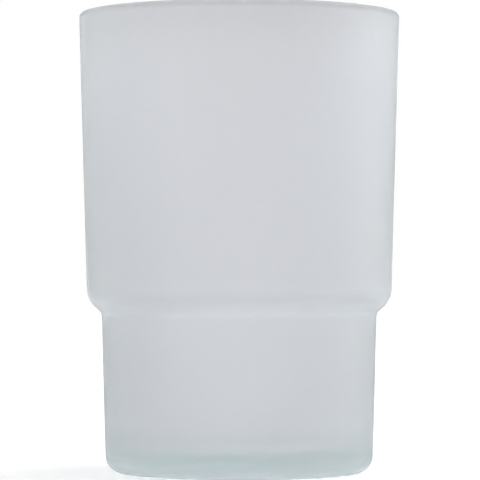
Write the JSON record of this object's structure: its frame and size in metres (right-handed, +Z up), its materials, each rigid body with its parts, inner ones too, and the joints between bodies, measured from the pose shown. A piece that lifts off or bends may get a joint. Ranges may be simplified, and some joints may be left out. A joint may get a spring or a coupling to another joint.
{
  "type": "bathroom tumbler",
  "caption": "Stepped drinking glass of satin glass with a thick base and a slanting seat under a wider upper body, to stand on a shelf or sit in a ring holder.",
  "frame": {"origin": "on the table, under the middle of the mouth, on the tumbler's own axis", "axes": "+Z up along the tumbler's axis, from the base to the mouth; X and Y are any two directions across it, because the tumbler is round"},
  "size_m": [0.0697, 0.0698, 0.1],
  "materials": {
    "satin_glass": "acid-etched satin on every side, translucent, faintly green where the glass is thick"
  },
  "bodies": {
    "root": {"tumbler": "satin_glass"}
  },
  "joints": []
}
